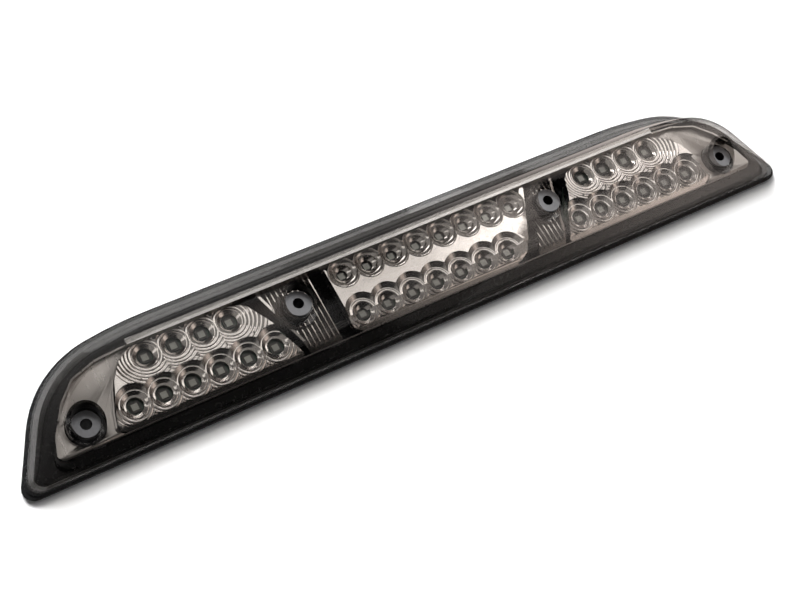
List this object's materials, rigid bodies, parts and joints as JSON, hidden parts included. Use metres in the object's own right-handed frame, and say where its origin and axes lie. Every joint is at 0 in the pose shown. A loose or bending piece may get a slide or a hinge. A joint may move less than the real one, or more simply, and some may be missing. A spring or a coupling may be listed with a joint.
{
  "type": "third brake light",
  "caption": "Long low brake light with a slanted smoked lens over LED clusters in metallised reflectors, fixed by screws through four recessed wells.",
  "frame": {"origin": "middle of the rear gasket's face, which lies against the vehicle", "axes": "+X along the lamp, +Y towards its upper edge, +Z out through the lens along the screws"},
  "size_m": [0.4298, 0.0618, 0.0333],
  "materials": {
    "housing_black": "moulded black ABS, semi-gloss with fine scuffs",
    "smoked_lens": "polished smoke-tinted polycarbonate",
    "metallised": "vacuum-metallised plastic, bright",
    "circuit_board": "solder-masked glass epoxy",
    "led_package": "moulded LED body with a clear grey window",
    "component_black": "matt moulded",
    "connector_body": "natural nylon",
    "contact_metal": "tinned contact",
    "wire_jacket": "PVC insulation",
    "zinc_steel": "zinc plated",
    "sleeve_steel": "plated, satin",
    "sealant": "cured black sealant",
    "foam": "closed-cell foam",
    "grommet_rubber": "moulded rubber"
  },
  "bodies": {
    "root": {"rear_gasket": "foam", "rear_housing": "housing_black", "lens_seal": "sealant", "outer_lens": "smoked_lens", "bezel": "metallised", "reflector_left": "metallised", "reflector_center": "metallised", "reflector_right": "metallised", "flute_panel_left": "metallised", "flute_panel_right": "metallised", "board_left": "circuit_board", "board_center": "circuit_board", "board_right": "circuit_board", "leds_left": "led_package", "leds_center": "led_package", "leds_right": "led_package", "resistors_left": "component_black", "resistors_center": "component_black", "resistors_right": "component_black", "input_diode": "component_black", "surge_diode": "component_black", "input_header": "connector_body", "input_pins": "contact_metal", "link_headers": "connector_body", "link_wires_left": "wire_jacket", "link_wires_right": "wire_jacket", "board_screws": "zinc_steel", "outer_sleeves": "sleeve_steel", "inner_sleeves": "sleeve_steel", "well_seals": "sealant", "lead_grommet": "grommet_rubber", "vent_plug": "component_black"}
  },
  "joints": []
}
